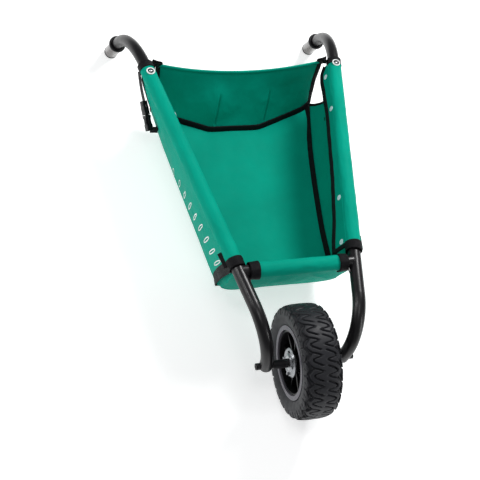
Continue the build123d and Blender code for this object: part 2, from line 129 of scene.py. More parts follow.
def flap_deep(along):
    return smooth_between(along, FLAP_ALONG, FLAP_DEEP)


def corner_lift(along):
    """Rounding of the bag's lower front corners: 1 at the front edge, 0 behind the corner."""
    return 1 - ease((along - 0.026) / 0.050)


def floor_sag(along):
    return smooth_between(along, SEAM_ALONG, FLOOR_SAG)


def ease(t):
    """Smooth step from 0 to 1."""
    t = min(max(t, 0.0), 1.0)
    return t * t * (3 - 2 * t)


def ripple(point, scale, seed=0.0):
    """Smooth noise, about -1 to 1, over lengths of about 1 / scale metres."""
    return noise.noise(Vector(point) * scale + Vector((seed, seed * 0.7, -seed)))


# ---- Meshes ----
def put(name, vertices, faces, body, slot, replaces=(), uvs=None):
    """Make a piece, give it its material, and let it ride on a body."""
    mesh = bpy.data.meshes.new(name)
    mesh.from_pydata([tuple(v) for v in vertices], [], faces)
    if uvs is not None:
        layer = mesh.uv_layers.new(name="cloth")
        for loop in mesh.loops:
            layer.data[loop.index].uv = uvs[loop.vertex_index]
    mesh.polygons.foreach_set("use_smooth", [True] * len(mesh.polygons))
    mesh.update()
    piece = bpy.data.objects.new(name, mesh)
    bpy.context.scene.collection.objects.link(piece)
    mesh.materials.append(MATERIALS[slot])
    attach(piece, body)
    if replaces:
        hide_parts(*replaces)
    return piece


def grid_faces(rows, columns, wrap_rows=False, wrap_columns=False):
    """Quads over a grid of rows by columns of points."""
    faces = []
    for i in range(rows if wrap_rows else rows - 1):
        for j in range(columns if wrap_columns else columns - 1):
            k = (i + 1) % rows
            m = (j + 1) % columns
            faces.append((i * columns + j, i * columns + m, k * columns + m, k * columns + j))
    return faces


def baked(piece, kind, **values):
    """Put a modifier with these values into the piece's mesh for good."""
    added = piece.modifiers.new(kind.lower(), kind)
    for key, value in values.items():
        setattr(added, key, value)
    graph = bpy.context.evaluated_depsgraph_get()
    mesh = bpy.data.meshes.new_from_object(piece.evaluated_get(graph))
    piece.modifiers.clear()
    piece.data = mesh
    return piece


def cloth_grid(name, surface, rows, columns, node, scale, thick=CLOTH):
    """A sheet of canvas over surface(u, v), with u and v from 0 to 1 and real thickness."""
    points = []
    uvs = []
    for i in range(rows):
        for j in range(columns):
            u = i / (rows - 1)
            v = j / (columns - 1)
            points.append(surface(u, v))
            uvs.append((u * scale[0], v * scale[1]))
    faces = grid_faces(rows, columns)
    piece = put(name, points, faces, "frame", "green_canvas", (node,), uvs)
    return baked(piece, "SOLIDIFY", thickness=thick, offset=0.0)


def tangents_of(points):
    """The unit tangent at each point of a polyline."""
    tangents = []
    for i in range(len(points)):
        low = points[max(i - 1, 0)]
        high = points[min(i + 1, len(points) - 1)]
        tangents.append((high - low).normalized())
    return tangents


def ribbon(name, path, width, thick, node=None, slot="black_webbing", closed=False):
    """A flat strip with rounded edges along a path, whose normals stand square to its face."""
    points, normals = path
    tangents = tangents_of(points)
    if closed:
        count = len(points)
        tangents = [(points[(i + 1) % count] - points[i - 1]).normalized() for i in range(count)]
    half = width / 2
    edge = min(thick / 2, half * 0.45)
    profile = [(-half, 0), (-half + edge * 0.5, edge * 0.87), (-half + 1.5 * edge, thick / 2),
               (0, thick / 2), (half - 1.5 * edge, thick / 2), (half - edge * 0.5, edge * 0.87),
               (half, 0), (half - edge * 0.5, -edge * 0.87), (half - 1.5 * edge, -thick / 2),
               (0, -thick / 2), (-half + 1.5 * edge, -thick / 2), (-half + edge * 0.5, -edge * 0.87)]
    vertices = []
    uvs = []
    run = 0.0
    for i, (p, t) in enumerate(zip(points, tangents)):
        if i:
            run += (p - points[i - 1]).length
        n = (normals[i] - t * normals[i].dot(t)).normalized()
        side = t.cross(n)
        for a, b in profile:
            vertices.append(p + side * a + n * b)
            uvs.append((run, a))
    faces = grid_faces(len(points), len(profile), wrap_rows=closed, wrap_columns=True)
    if not closed:
        last = (len(points) - 1) * len(profile)
        faces.append(tuple(range(len(profile)))[::-1])
        faces.append(tuple(last + k for k in range(len(profile))))
    return put(name, vertices, faces, "frame", slot, (node,) if node else (), uvs)


def turned_piece(name, start, direction, profile, slot, node=None, around=48):
    """A turned shape: profile is a closed outline of (distance along, radius)."""
    direction = direction.normalized()
    side = direction.orthogonal().normalized()
    other = direction.cross(side)
    vertices = []
    for k in range(around):
        angle = 2 * math.pi * k / around
        spoke = side * math.cos(angle) + other * math.sin(angle)
        vertices += [start + direction * a + spoke * r for a, r in profile]
    faces = grid_faces(around, len(profile), wrap_rows=True, wrap_columns=True)
    put(name, vertices, faces, "frame", slot, (node,) if node else ())


def rounded_outline(outline, radius, steps=4):
    """Round the corners of a closed outline."""
    result = []
    count = len(outline)
    for k in range(count):
        before = Vector(outline[k - 1])
        corner = Vector(outline[k])
        after = Vector(outline[(k + 1) % count])
        reach = min(radius, (before - corner).length * 0.45, (after - corner).length * 0.45)
        a = corner + (before - corner).normalized() * reach
        b = corner + (after - corner).normalized() * reach
        for i in range(steps + 1):
            t = i / steps
            p = a * (1 - t) ** 2 + corner * 2 * t * (1 - t) + b * t * t
            result.append(tuple(p))
    return result


# ---- Materials ----
MATERIALS = {}
WEAVE_PITCH = 0.0011
RIB_PITCH = 0.0022
METAL_GRAIN = 400


class Nodes:
    """Small helper for building one node material."""

    def __init__(self, name, color, rough, metallic=0.0, **sockets):
        self.material = bpy.data.materials.new(name)
        self.material.use_nodes = True
        self.tree = self.material.node_tree
        self.shader = self.tree.nodes["Principled BSDF"]
        self.shader.inputs["Base Color"].default_value = (*color, 1)
        self.shader.inputs["Roughness"].default_value = rough
        self.shader.inputs["Metallic"].default_value = metallic
        for key, value in sockets.items():
            self.shader.inputs[key.replace("_", " ")].default_value = value
        self.place = self.tree.nodes.new("ShaderNodeTexCoord")
        MATERIALS[name] = self.material

    def link(self, output, target):
        self.tree.links.new(output, target)

    def noise(self, scale, detail, stretch=(1, 1, 1)):
        mapping = self.tree.nodes.new("ShaderNodeMapping")
        mapping.inputs["Scale"].default_value = stretch
        self.link(self.place.outputs["Object"], mapping.inputs["Vector"])
        texture = self.tree.nodes.new("ShaderNodeTexNoise")
        texture.inputs["Scale"].default_value = scale
        texture.inputs["Detail"].default_value = detail
        self.link(mapping.outputs["Vector"], texture.inputs["Vector"])
        return texture.outputs["Fac"]

    def bands(self, pitch, direction):
        """Threads of a given pitch in metres, across U or V."""
        wave = self.tree.nodes.new("ShaderNodeTexWave")
        wave.bands_direction = direction
        wave.inputs["Scale"].default_value = 2 * math.pi / pitch / 20
        self.link(self.place.outputs["UV"], wave.inputs["Vector"])
        return wave.outputs["Fac"]

    def math(self, operation, a, b):
        node = self.tree.nodes.new("ShaderNodeMath")
        node.operation = operation
        for k, value in enumerate((a, b)):
            if isinstance(value, (int, float)):
                node.inputs[k].default_value = value
            else:
                self.link(value, node.inputs[k])
        return node.outputs[0]

    def ramp(self, value, low, high, start=0.3, end=0.7):
        """A number from low to high as value goes from start to end."""
        node = self.tree.nodes.new("ShaderNodeMapRange")
        node.inputs["From Min"].default_value = start
        node.inputs["From Max"].default_value = end
        node.inputs["To Min"].default_value = low
        node.inputs["To Max"].default_value = high
        self.link(value, node.inputs["Value"])
        return node.outputs["Result"]

    def mix_color(self, factor, first, second):
        node = self.tree.nodes.new("ShaderNodeMix")
        node.data_type = "RGBA"
        self.link(factor, node.inputs["Factor"])
        for socket, value in ((node.inputs[6], first), (node.inputs[7], second)):
            if isinstance(value, (tuple, list)):
                socket.default_value = (*value, 1)
            else:
                self.link(value, socket)
        return node.outputs[2]

    def set_color(self, output):
        self.link(output, self.shader.inputs["Base Color"])

    def vary_rough(self, low, high, *noise):
        """Let the roughness wander from low to high with a noise."""
        self.link(self.ramp(self.noise(*noise), low, high), self.shader.inputs["Roughness"])

    def bump(self, height, distance, strength=1.0):
        node = self.tree.nodes.new("ShaderNodeBump")
        node.inputs["Distance"].default_value = distance
        node.inputs["Strength"].default_value = strength
        self.link(height, node.inputs["Height"])
        if self.shader.inputs["Normal"].is_linked:
            self.link(self.shader.inputs["Normal"].links[0].from_socket, node.inputs["Normal"])
        self.link(node.outputs["Normal"], self.shader.inputs["Normal"])


def shade(color, factor):
    return tuple(min(1.0, c * factor) for c in color)


def canvas(name, color):
    """Coated woven polyester: fine plain weave, soft creases and slight fading."""
    m = Nodes(name, color, 0.62, Specular_IOR_Level=0.05)
    weave = m.math("MULTIPLY", m.bands(WEAVE_PITCH, "X"), m.bands(WEAVE_PITCH, "Y"))
    tone = m.mix_color(m.ramp(m.noise(7, 4), 0.0, 1.0), shade(color, 0.90), shade(color, 1.08))
    m.set_color(m.mix_color(m.ramp(weave, 0.0, 0.35, 0.0, 1.0), tone, shade(color, 0.80)))
    m.vary_rough(0.56, 0.68, 40, 4)
    m.bump(m.noise(28, 5), 0.0012, 0.35)
    m.bump(m.noise(140, 3), 0.0003, 0.3)
    m.bump(weave, 0.00022, 0.6)


def webbing(name, color):
    """Ribbed polypropylene webbing."""
    m = Nodes(name, color, 0.62, Specular_IOR_Level=0.16)
    ribs = m.bands(RIB_PITCH, "X")
    threads = m.bands(RIB_PITCH * 0.8, "Y")
    weave = m.math("ADD", ribs, m.math("MULTIPLY", threads, 0.6))
    m.set_color(m.mix_color(m.ramp(weave, 0.0, 1.0, 0.2, 1.4), shade(color, 0.6), shade(color, 1.7)))
    m.vary_rough(0.52, 0.72, 60, 3)
    m.bump(weave, 0.0004, 0.8)


def coated_steel(name, color, rough):
    """Powder coat: fine orange peel, faint scuffs and an uneven gloss."""
    m = Nodes(name, color, rough, Coat_Weight=0.08, Coat_Roughness=0.16, Specular_IOR_Level=0.34)
    scuffs = m.noise(9, 6, (1, 0.25, 1))
    m.set_color(m.mix_color(m.ramp(scuffs, 0.0, 1.0, 0.62, 0.8), color, shade(color, 1.25)))
    m.vary_rough(rough - 0.03, rough + 0.05, 35, 5)
    m.bump(m.noise(500, 2), 0.00004, 0.3)


def bare_metal(name, color, rough):
    """Plated or polished metal with fine brushing."""
    m = Nodes(name, color, rough, metallic=1.0)
    m.vary_rough(rough * 0.7, rough * 1.5, METAL_GRAIN, 3, (1, 1, 0.1))
    m.set_color(m.mix_color(m.ramp(m.noise(30, 4), 0.0, 1.0), shade(color, 0.82), color))
    m.bump(m.noise(METAL_GRAIN, 2), 0.00005, 0.4)


def moulded(name, color, rough, grain=260, coat=0.0, gloss=0.4):
    """Moulded plastic or rubber with a fine grain."""
    m = Nodes(name, color, rough, Coat_Weight=coat, Specular_IOR_Level=gloss)
    m.set_color(m.mix_color(m.ramp(m.noise(18, 4), 0.0, 1.0), shade(color, 0.85), shade(color, 1.2)))
    m.vary_rough(rough - 0.05, rough + 0.08, 55, 4)
    m.bump(m.noise(grain, 3), 0.00015, 0.4)


canvas("green_canvas", (0.0, 0.335, 0.235))
webbing("black_webbing", (0.0035, 0.0035, 0.0045))
coated_steel("powder_coated_tube", (0.0045, 0.004, 0.005), 0.34)
coated_steel("black_axle_steel", (0.014, 0.014, 0.016), 0.42)
coated_steel("rim_grey", (0.115, 0.108, 0.128), 0.42)
bare_metal("bearing_steel", (0.55, 0.56, 0.58), 0.28)
bare_metal("chrome_hub", (0.40, 0.41, 0.43), 0.30)
bare_metal("screw_steel", (0.52, 0.53, 0.55), 0.22)
moulded("eyelet_ring", (0.82, 0.86, 0.85), 0.35)
moulded("stud_enamel", (0.62, 0.80, 0.84), 0.30, coat=0.3)
moulded("tyre_rubber", (0.0125, 0.0130, 0.0165), 0.50, grain=420, gloss=0.30)
moulded("tube_rubber", (0.02, 0.02, 0.02), 0.6)
moulded("rim_black", (0.004, 0.004, 0.0045), 0.36, gloss=0.3)
moulded("grip_rubber", (0.006, 0.006, 0.007), 0.46, gloss=0.3)
moulded("grip_gloss", (0.075, 0.064, 0.060), 0.24, grain=180, coat=0.4)
moulded("black_plastic", (0.004, 0.004, 0.005), 0.46, gloss=0.14)

slot_of = {part["node"]: part["material_slot"] for part in frame["record"]["subparts"]}
for node, piece in frame["nodes"].items():
    piece.data.materials.clear()
    piece.data.materials.append(MATERIALS[slot_of[node]])

# ---- Wheel ----
HUB = at(0, AXLE_ALONG, -AXLE_DROP)
PITCHES = 24
PITCH_STEPS = 36
CROWN_STEPS = 104
GROOVE_DEEP = 0.0066

# One pitch of grooves on one side of the centre rib.  Each groove has a half width, a depth and
# a line of points: share of a pitch, and distance over the crown from the centre line.
GROOVES = (
    (0.0020, 1.0, ((0.0, 0.0072), (0.10, 0.014), (0.15, 0.019), (0.24, 0.030), (0.36, 0.0345),
                   (0.50, 0.0385), (0.73, 0.0425), (0.90, 0.0405), (1.04, 0.035), (1.24, 0.030))),
    (0.0021, 1.0, ((0.36, 0.0070), (0.46, 0.015), (0.60, 0.0255), (0.70, 0.0290), (0.80, 0.0280))),
    (0.0010, 0.8, ((0.80, 0.0280), (0.87, 0.0220), (0.93, 0.0080))),
    (0.0034, 0.9, ((0.10, 0.0375), (0.28, 0.0390), (0.48, 0.0435), (0.70, 0.0480), (0.92, 0.0445),
                   (1.10, 0.0375))),
    (0.0024, 0.9, ((0.70, 0.0480), (0.70, 0.0720))),
    (0.0007, 0.4, ((0.12, 0.0490), (0.16, 0.0560), (0.26, 0.0585))),
)
# Share of a pitch between the two sides, and how far those lines are spread over the crown.
SIDE_PHASE = 0.315
SPREAD = 1.14


def line_gap(point, low, high):
    """Distance from a point to a straight stretch."""
    dx = high[0] - low[0]
    dy = high[1] - low[1]
    t = ((point[0] - low[0]) * dx + (point[1] - low[1]) * dy) / (dx * dx + dy * dy)
    t = min(max(t, 0.0), 1.0)
    return math.hypot(point[0] - low[0] - dx * t, point[1] - low[1] - dy * t)


def groove_share(round_share, distance):
    """How deep the tread is cut here, from 0 on a block to 1 in a groove."""
    turn = round_share - SIDE_PHASE if distance >= 0 else -round_share
    arc = 2 * math.pi * WHEEL_R / PITCHES
    here = (turn % 1.0 * arc, abs(distance))
    deepest = 0.0
    for half_width, depth, line in GROOVES:
        for shift in (-1, 0, 1):
            for low, high in zip(line[:-1], line[1:]):
                start = ((low[0] + shift) * arc, low[1])
                end = ((high[0] + shift) * arc, high[1])
                gap = line_gap(here, start, end)
                deepest = max(deepest, depth * (1 - ease((gap - half_width * 0.7) / 0.0013)))
    return deepest


def tyre_section():
    """Outside of the tyre from one bead to the other, as (across, radius, share of tread)."""
    side = [(0.0435, 0.1045, 0), (0.0437, 0.1070, 0), (0.0452, 0.1086, 0), (0.0472, 0.1090, 0),
            (0.0480, 0.1102, 0), (0.0500, 0.1150, 0), (0.0522, 0.1220, 0), (0.0537, 0.1300, 0),
            (0.0546, 0.1365, 0.0), (0.0547, 0.1390, 0.35), (0.0545, 0.1415, 0.7),
            (0.0540, 0.1442, 1)]
    crown = []
    for k in range(1, CROWN_STEPS):
        angle = math.pi * (0.5 - k / CROWN_STEPS)
        across = -0.0535 * math.copysign(abs(math.sin(angle)) ** 0.72, math.sin(angle))
        radius = 0.1462 + (WHEEL_R - 0.1462) * abs(math.cos(angle)) ** 0.62
        crown.append((across, radius, 1))
    return [(-a, r, s) for a, r, s in side] + crown + side[::-1]


def crown_distances(section):
    """Distance of each point from the centre line, measured over the crown."""
    runs = [0.0]
    for low, high in zip(section[:-1], section[1:]):
        runs.append(runs[-1] + math.hypot(high[0] - low[0], high[1] - low[1]))
    return [run - runs[-1] / 2 for run in runs]


def make_tyre():
    """Tyre with its tread cut as real grooves, and an inside so that it is closed."""
    section = tyre_section()
    distances = crown_distances(section)
    inside = [(0.028, 0.1045), (0.028, 0.118), (0.040, 0.134), (0.030, 0.148), (0.0, 0.152),
              (-0.030, 0.148), (-0.040, 0.134), (-0.028, 0.118), (-0.028, 0.1045)]
    one_pitch = []
    for k in range(PITCH_STEPS):
        column = []
        for (across, radius, tread), distance in zip(section, distances):
            cut = groove_share(k / PITCH_STEPS, distance / SPREAD) * tread if tread else 0.0
            slant = min(1.0, max(0.0, (abs(distance) - 0.048) / 0.012))
            across -= math.copysign(GROOVE_DEEP * cut * slant * 0.6, across)
            column.append((across, radius - GROOVE_DEEP * cut * (1 - 0.5 * slant)))
        one_pitch.append(column + inside)
    count = len(one_pitch[0])
    vertices = []
    total = PITCHES * PITCH_STEPS
    for k in range(total):
        angle = 2 * math.pi * k / total
        for across, radius in one_pitch[k % PITCH_STEPS]:
            vertices.append(HUB + Vector((across, radius * math.cos(angle), radius * math.sin(angle))))
    faces = grid_faces(total, count, wrap_rows=True, wrap_columns=True)
    put("tyre_treaded", vertices, faces, "wheel", "tyre_rubber", ("tyre",))


make_tyre()


# ---- Grips ----
def make_grips():
    """Glossy grips between a rounded collar and a lipped end cap."""
    for side, sign in SIDES:
        handle = at(sign * 0.3479, 0.9045, 0)
        end = at(sign * 0.3681, 1.026, -0.236)
        out = (end - handle).normalized()
        collar = rounded_outline([(0, 0.0192), (0, 0.028), (0.009, 0.028), (0.009, 0.0192)], 0.0032)
        turned_piece(f"{side}_collar_ring", end - out * 0.106, out, collar, "grip_rubber",
                     f"{side}_grip_collar")
        body = [(0.0, 0.0192), (0.0, 0.0216), (0.002, 0.0222)]
        for k in range(1, 40):
            along = 0.002 + 0.085 * k / 40
            swell = 0.0004 * math.sin(math.pi * k / 40)
            body.append((along, 0.0218 + swell))
        body += [(0.088, 0.0222), (0.0898, 0.0216), (0.0898, 0.0192)]
        turned_piece(f"{side}_grip_sleeve", end - out * 0.097, out, body, "grip_gloss",
                     f"{side}_grip")
        cap = rounded_outline([(0, 0.0), (0, 0.0229), (0.007, 0.0229), (0.0070, 0.0)], 0.0026)
        turned_piece(f"{side}_end_cap", end - out * 0.007, out, cap, "grip_rubber",
                     f"{side}_grip_cap")


make_grips()


# ---- Bag: sleeves and cuffs ----
def pole_axes(sign):
    """Start of the pole's axis, its direction, the outward and the upward direction."""
    start = at(sign * pole_half(0), 0, 0)
    run = (at(sign * pole_half(1), 1, 0) - start).normalized()
    up = turned(0, 0, 1)
    return start, run, (run.cross(up) * sign).normalized(), up


def wrap(name, axes, low, high, radii, slot, node, wave, seed, thick=CLOTH, lap=None):
    """A tube of cloth or webbing round a bar, with soft creases; lap is the angle of its seam."""
    start, run, out, up = axes
    rows = max(8, int((high - low) / 0.005))
    around = 64
    points = []
    uvs = []
    for i in range(rows):
        share = i / (rows - 1)
        s = low + (high - low) * share
        for j in range(around):
            angle = 2 * math.pi * j / around
            spoke = out * math.cos(angle) + up * math.sin(angle)
            r = radii[0] + (radii[1] - radii[0]) * share
            place = (s * 0.35, math.cos(angle) * 0.03, math.sin(angle) * 0.03)
            r += wave * ripple(place, 55, seed) + wave * 0.6 * ripple(place, 130, seed + 3)
            r = max(r, TUBE_R + 0.0012 + thick / 2)
            if lap is not None:
                turn = (angle - lap) % (2 * math.pi)
                r += 0.0016 * (1 - ease(turn / 0.45))
            points.append(start + run * s + spoke * r)
            uvs.append((s, angle * r))
    faces = grid_faces(rows, around, wrap_columns=True)
    piece = put(name, points, faces, "frame", slot, (node,), uvs)
    baked(piece, "SOLIDIFY", thickness=thick, offset=0.0)


def make_sleeves():
    for side, sign in SIDES:
        axes = pole_axes(sign)
        begin = SLEEVE_START[side]
        wrap(f"{side}_sleeve_cloth", axes, begin - 0.004, SLEEVE_END + 0.008, (0.0226, 0.0226),
             "green_canvas", f"{side}_pole_sleeve", 0.0010, 2.0 + sign)
        wrap(f"{side}_lower_cuff_band", axes, begin - 0.029, begin, (0.0240, 0.0243),
             "black_webbing", f"{side}_lower_cuff", 0.0006, 4.0, CUFF_THICK, -1.2)
        wrap(f"{side}_upper_cuff_band", axes, 0.7475, 0.771, (0.0242, 0.0238),
             "black_webbing", f"{side}_upper_cuff", 0.0005, 5.0, CUFF_THICK, 2.6)
    back = turned(0, -1, 0)
    up = turned(0, 0, 1)
    bar = (at(0, 0, 0), Vector((1, 0, 0)), back, up)
    wrap("crossbar_sleeve_cloth", bar, -0.1275, 0.1275, (0.0224, 0.0224),
         "green_canvas", "crossbar_sleeve", 0.0010, 9.0)
    for side, sign in SIDES:
        bar = (at(0, 0, 0), Vector((sign, 0, 0)), back, up)
        wrap(f"{side}_crossbar_cuff_band", bar, 0.1195, 0.1480, (0.0262, 0.0236),
             "black_webbing", "crossbar_cuffs", 0.0009, 6.0 + sign, CUFF_THICK, 1.0)


make_sleeves()


# ---- Bag: panels ----
TOP_OUT = 0.0110
TOP_DEEP = 0.0200
PANEL_FRONT = 0.004
REAR_HALF = 0.277
HEM_HALF = 0.276
# Rear seam of the floor: distance from the middle, distance behind the crossbar and depth.
REAR_SEAM_ACROSS = (0.0, 0.070, 0.090, 0.110, 0.240, 0.262, REAR_HALF)
REAR_SEAM_ALONG = (0.664, 0.664, 0.666, 0.671, 0.711, 0.720, 0.732)
REAR_SEAM_DEEP = (0.236, 0.236, 0.2355, 0.232, 0.208, 0.200, 0.190)


def rear_edge(share):
    """How far back the side panel reaches, from the sleeve at 0 to the floor seam at 1."""
    return float(np.interp(share, (0.0, 0.17, 0.24, 0.30, 0.40, 0.60, 0.80, 1.0),
                           (0.742, 0.736, 0.700, 0.668, 0.668, 0.684, 0.704, 0.729)))


def front_edge(share):
    """Where the side panel starts, at the seam to the front panel."""
    return PANEL_FRONT + 0.034 * share ** 1.3


def side_surface(sign, along, share):
    """Side panel: distance across and depth, from the sleeve at share 0 to the seam at 1."""
    place_along = max(along, SEAM_ALONG[0])
    lift = corner_lift(along)
    low_across = seam_half(place_along) - 0.006 * lift
    low_deep = seam_deep(place_along) - 0.026 * lift
    top_across = pole_half(along) + TOP_OUT
    belly = 0.007 * math.sin(math.pi * share) * ease(along / 0.2)
    belly += 0.005 * math.sin(math.pi * min(share * 2.2, 1.0)) * ease((along - 0.40) / 0.25)
    across = top_across + (low_across - top_across) * share + belly
    depth = TOP_DEEP + (low_deep - TOP_DEEP) * share
    place = (along, depth * 0.8, 0)
    fold = 0.0032 * ripple(place, 11, 4 * sign) + 0.0013 * ripple(place, 31, 7 * sign)
    fold += 0.0007 * ripple((along * 0.5, depth, 0), 75, 3 * sign)
    fold *= math.sin(math.pi * min(share * 0.9 + 0.05, 1.0))
    return across + fold, depth


def side_place(sign, along, share, proud=0.0):
    across, depth = side_surface(sign, along, share)
    return at(sign * (across + proud), along, -depth)


def flap_surface(sign, along, share, proud=0.0):
    """Sleeve flap: it comes off the pole's inner side and hangs to its bound edge."""
    depth = FLAP_TOP + (flap_deep(along) - FLAP_TOP) * share
    inside = FLAP_IN + depth * math.tan(FLAP_TILT)
    inside += 0.0016 * share * ripple((along, depth, 0), 22, 5 * sign)
    return at(sign * (pole_half(along) - inside - proud), along, -depth)


def make_sides():
    for side, sign in SIDES:
        begin = SLEEVE_START[side]

        def panel_place(u, v, sign=sign):
            low = front_edge(v)
            return side_place(sign, low + (rear_edge(v) - low) * u, v)

        panel = cloth_grid(f"{side}_side_cloth", panel_place, 170, 50, f"{side}_side_panel",
                           (0.69, 0.19))

        def flap_place(u, v, sign=sign, begin=begin):
            return flap_surface(sign, begin + (SLEEVE_END - begin) * u, v)

        flap = cloth_grid(f"{side}_flap_cloth", flap_place, 140, 16, f"{side}_sleeve_flap",
                          (0.68, 0.05), FLAP_THICK)


make_sides()


def rear_seam(across):
    """The rear seam of the floor at a distance from the middle: along, depth."""
    reach = min(abs(across), REAR_HALF)
    return (smooth_between(reach, REAR_SEAM_ACROSS, REAR_SEAM_ALONG),
            smooth_between(reach, REAR_SEAM_ACROSS, REAR_SEAM_DEEP))


def floor_point(share, across_share):
    """Floor surface: share runs from the front edge to the rear seam."""
    rear_across = REAR_HALF * across_share
    rear_along, _ = rear_seam(rear_across)
    front_along = 0.036 + 0.006 * (1 - across_share**2)
    along = front_along + (rear_along - front_along) * share
    edge = abs(across_share) ** 6
    lift = corner_lift(along) * edge
    half = seam_half(along) - 0.006 * lift
    depth = seam_deep(along) + floor_sag(along) * (1 - across_share**2) - 0.026 * lift
    _, end_depth = rear_seam(half * across_share)
    depth += (end_depth - depth) * ease((share - 0.80) / 0.20)
    place = (half * across_share, along, 0)
    depth += (1 - edge) * (0.0022 * ripple(place, 6, 11) + 0.0009 * ripple(place, 19, 13))
    tuck = 0.0030 * ripple((place[0], along * 0.25, 1), 24, 5) * ease((share - 0.72) / 0.25)
    tuck += 0.0022 * ripple((place[0], along * 0.3, 3), 30, 8) * ease((0.12 - share) / 0.10)
    depth += (1 - edge) * tuck * (1 - ease((share - 0.97) / 0.03))
    return half * across_share, along, depth


def make_floor():
    def surface(u, v):
        across, along, depth = floor_point(u, 2 * v - 1)
        return at(across, along, -depth)

    panel = cloth_grid("floor_cloth", surface, 170, 110, "floor_panel", (0.70, 0.48))


make_floor()


def make_front():
    """Front panel, from under the crossbar sleeve to the floor's front edge."""
    def surface(u, v):
        share = 2 * u - 1
        side_across, side_depth = side_surface(1 if share >= 0 else -1, front_edge(v), v)
        top = Vector(((pole_half(0) + TOP_OUT) * share, PANEL_FRONT, TOP_DEEP))
        low = Vector(floor_point(0.0, share))
        p = top.lerp(low, v)
        edge = abs(share) ** 10
        p.x += (math.copysign(side_across, share) - p.x) * edge
        p.y += (front_edge(v) - p.y) * edge
        p.z += (side_depth - p.z) * edge
        inner = (1 - edge) * math.sin(math.pi * v)
        place = (p.x, p.z, 0)
        p.y -= inner * 0.012 * (1 - share**2)
        p.y += inner * (0.0050 * ripple(place, 9, 21) + 0.0020 * ripple(place, 26, 22))
        fold = (p.x * 0.8 - p.z + 0.02) / 0.012
        p.y -= inner * 0.0060 * math.exp(-fold * fold) * ease((p.x - 0.02) / 0.08)
        return at(p.x, p.y, -p.z)

    panel = cloth_grid("front_cloth", surface, 110, 50, "front_panel", (0.37, 0.18))


make_front()


# ---- Rear panel ----
# Each dart's distance across at the hem and at the seam, and each ridge's place, reach and height.
DARTS = ((-0.055, -0.074), (0.122, 0.100))
RIDGES = ((-0.070, 0.060, 0.022), (0.106, 0.055, 0.014))
HEM_DEEP = 0.013
STITCH_PITCH = 0.0048
STITCH_LENGTH = 0.0034
STITCH_R = 0.00032


def rear_point(across_share, share):
    """Rear panel: share runs from the top hem to the floor's rear seam."""
    bow = 1 - across_share**2
    top = Vector((HEM_HALF * across_share, 0.764 - 0.004 * bow, 0.002 + 0.038 * bow))
    low_across = REAR_HALF * across_share
    low_along, low_depth = rear_seam(low_across)
    low = Vector((low_across, low_along, low_depth))
    p = top.lerp(low, share)
    bulge = math.sin(math.pi * share)
    p.x -= 0.004 * bulge * across_share
    p.y += 0.016 * bulge * bow
    place = (p.x, p.z, 0)
    p.y += (0.0095 * ripple(place, 7, 31) + 0.0034 * ripple(place, 20, 32)) * bulge
    p.y += 0.0007 * ripple(place, 60, 33) * bulge
    for across, reach, rise in RIDGES:
        p.y -= rise * bulge**2 * math.exp(-(((p.x - across) / reach) ** 2))
    for high, low_end in DARTS:
        off = (p.x - high - (low_end - high) * share) / 0.0022
        tuck = ease((share - 0.36) / 0.10) * (1 - ease((share - 0.88) / 0.08))
        p.y -= 0.0034 * tuck * math.exp(-abs(off))
        p.y += 0.0050 * tuck * math.exp(-((off - 2.4) / 1.8) ** 2)
    return p


def rear_place(across_share, share, proud=0.0):
    p = rear_point(across_share, share)
    return at(p.x, p.y - proud, -p.z)


def make_rear():
    panel = cloth_grid("rear_cloth", lambda u, v: rear_place(2 * u - 1, v), 300, 70,
                       "rear_panel", (0.55, 0.2))


def path_on(function, count):
    """Points of a path and their normals, from a function that gives both."""
    made = [function(k / (count - 1)) for k in range(count)]
    return [m[0] for m in made], [m[1] for m in made]


def stitches(name, paths, slot):
    """Runs of small stitches along paths, as one piece."""
    vertices = []
    faces = []
    for points, normals in paths:
        tangents = tangents_of(points)
        run = 0.0
        place = STITCH_PITCH
        for k in range(len(points) - 1):
            span = (points[k + 1] - points[k]).length
            while place < run + span:
                centre = points[k].lerp(points[k + 1], (place - run) / span)
                along = tangents[k]
                lift = (normals[k] - along * along.dot(normals[k])).normalized()
                side = along.cross(lift)
                base = len(vertices)
                for reach, size, rise in ((-0.5, 0.5, 0), (-0.3, 1, 0.9), (0.3, 1, 0.9), (0.5, 0.5, 0)):
                    for a, b in ((-1, -0.4), (-0.7, 0.8), (0.7, 0.8), (1, -0.4)):
                        vertices.append(centre + along * STITCH_LENGTH * reach
                                        + side * STITCH_R * a * size
                                        + lift * STITCH_R * (b * size + rise))
                for ring in range(3):
                    for corner in range(4):
                        a = base + ring * 4 + corner
                        b = base + ring * 4 + (corner + 1) % 4
                        faces.append((a, b, b + 4, a + 4))
                faces.append((base + 3, base + 2, base + 1, base))
                faces.append((base + 12, base + 13, base + 14, base + 15))
                place += STITCH_PITCH
            run += span
    return put(name, vertices, faces, "frame", slot)


def shifted(path, amount):
    """A path moved sideways over its surface, for a row of stitches."""
    points, normals = path
    moved = [p + t.cross(n).normalized() * amount
             for p, t, n in zip(points, tangents_of(points), normals)]
    return moved, normals


def tape(name, path, width, thick, node=None, rows=(0.0,), slot="black_webbing"):
    """A strip along a path, with rows of stitches at the given offsets from its middle."""
    ribbon(name, path, width, thick, node, slot)
    lifted = [p + n.normalized() * thick * 0.42 for p, n in zip(*path)]
    stitches(f"{name}_stitches", [shifted((lifted, path[1]), row) for row in rows], slot)


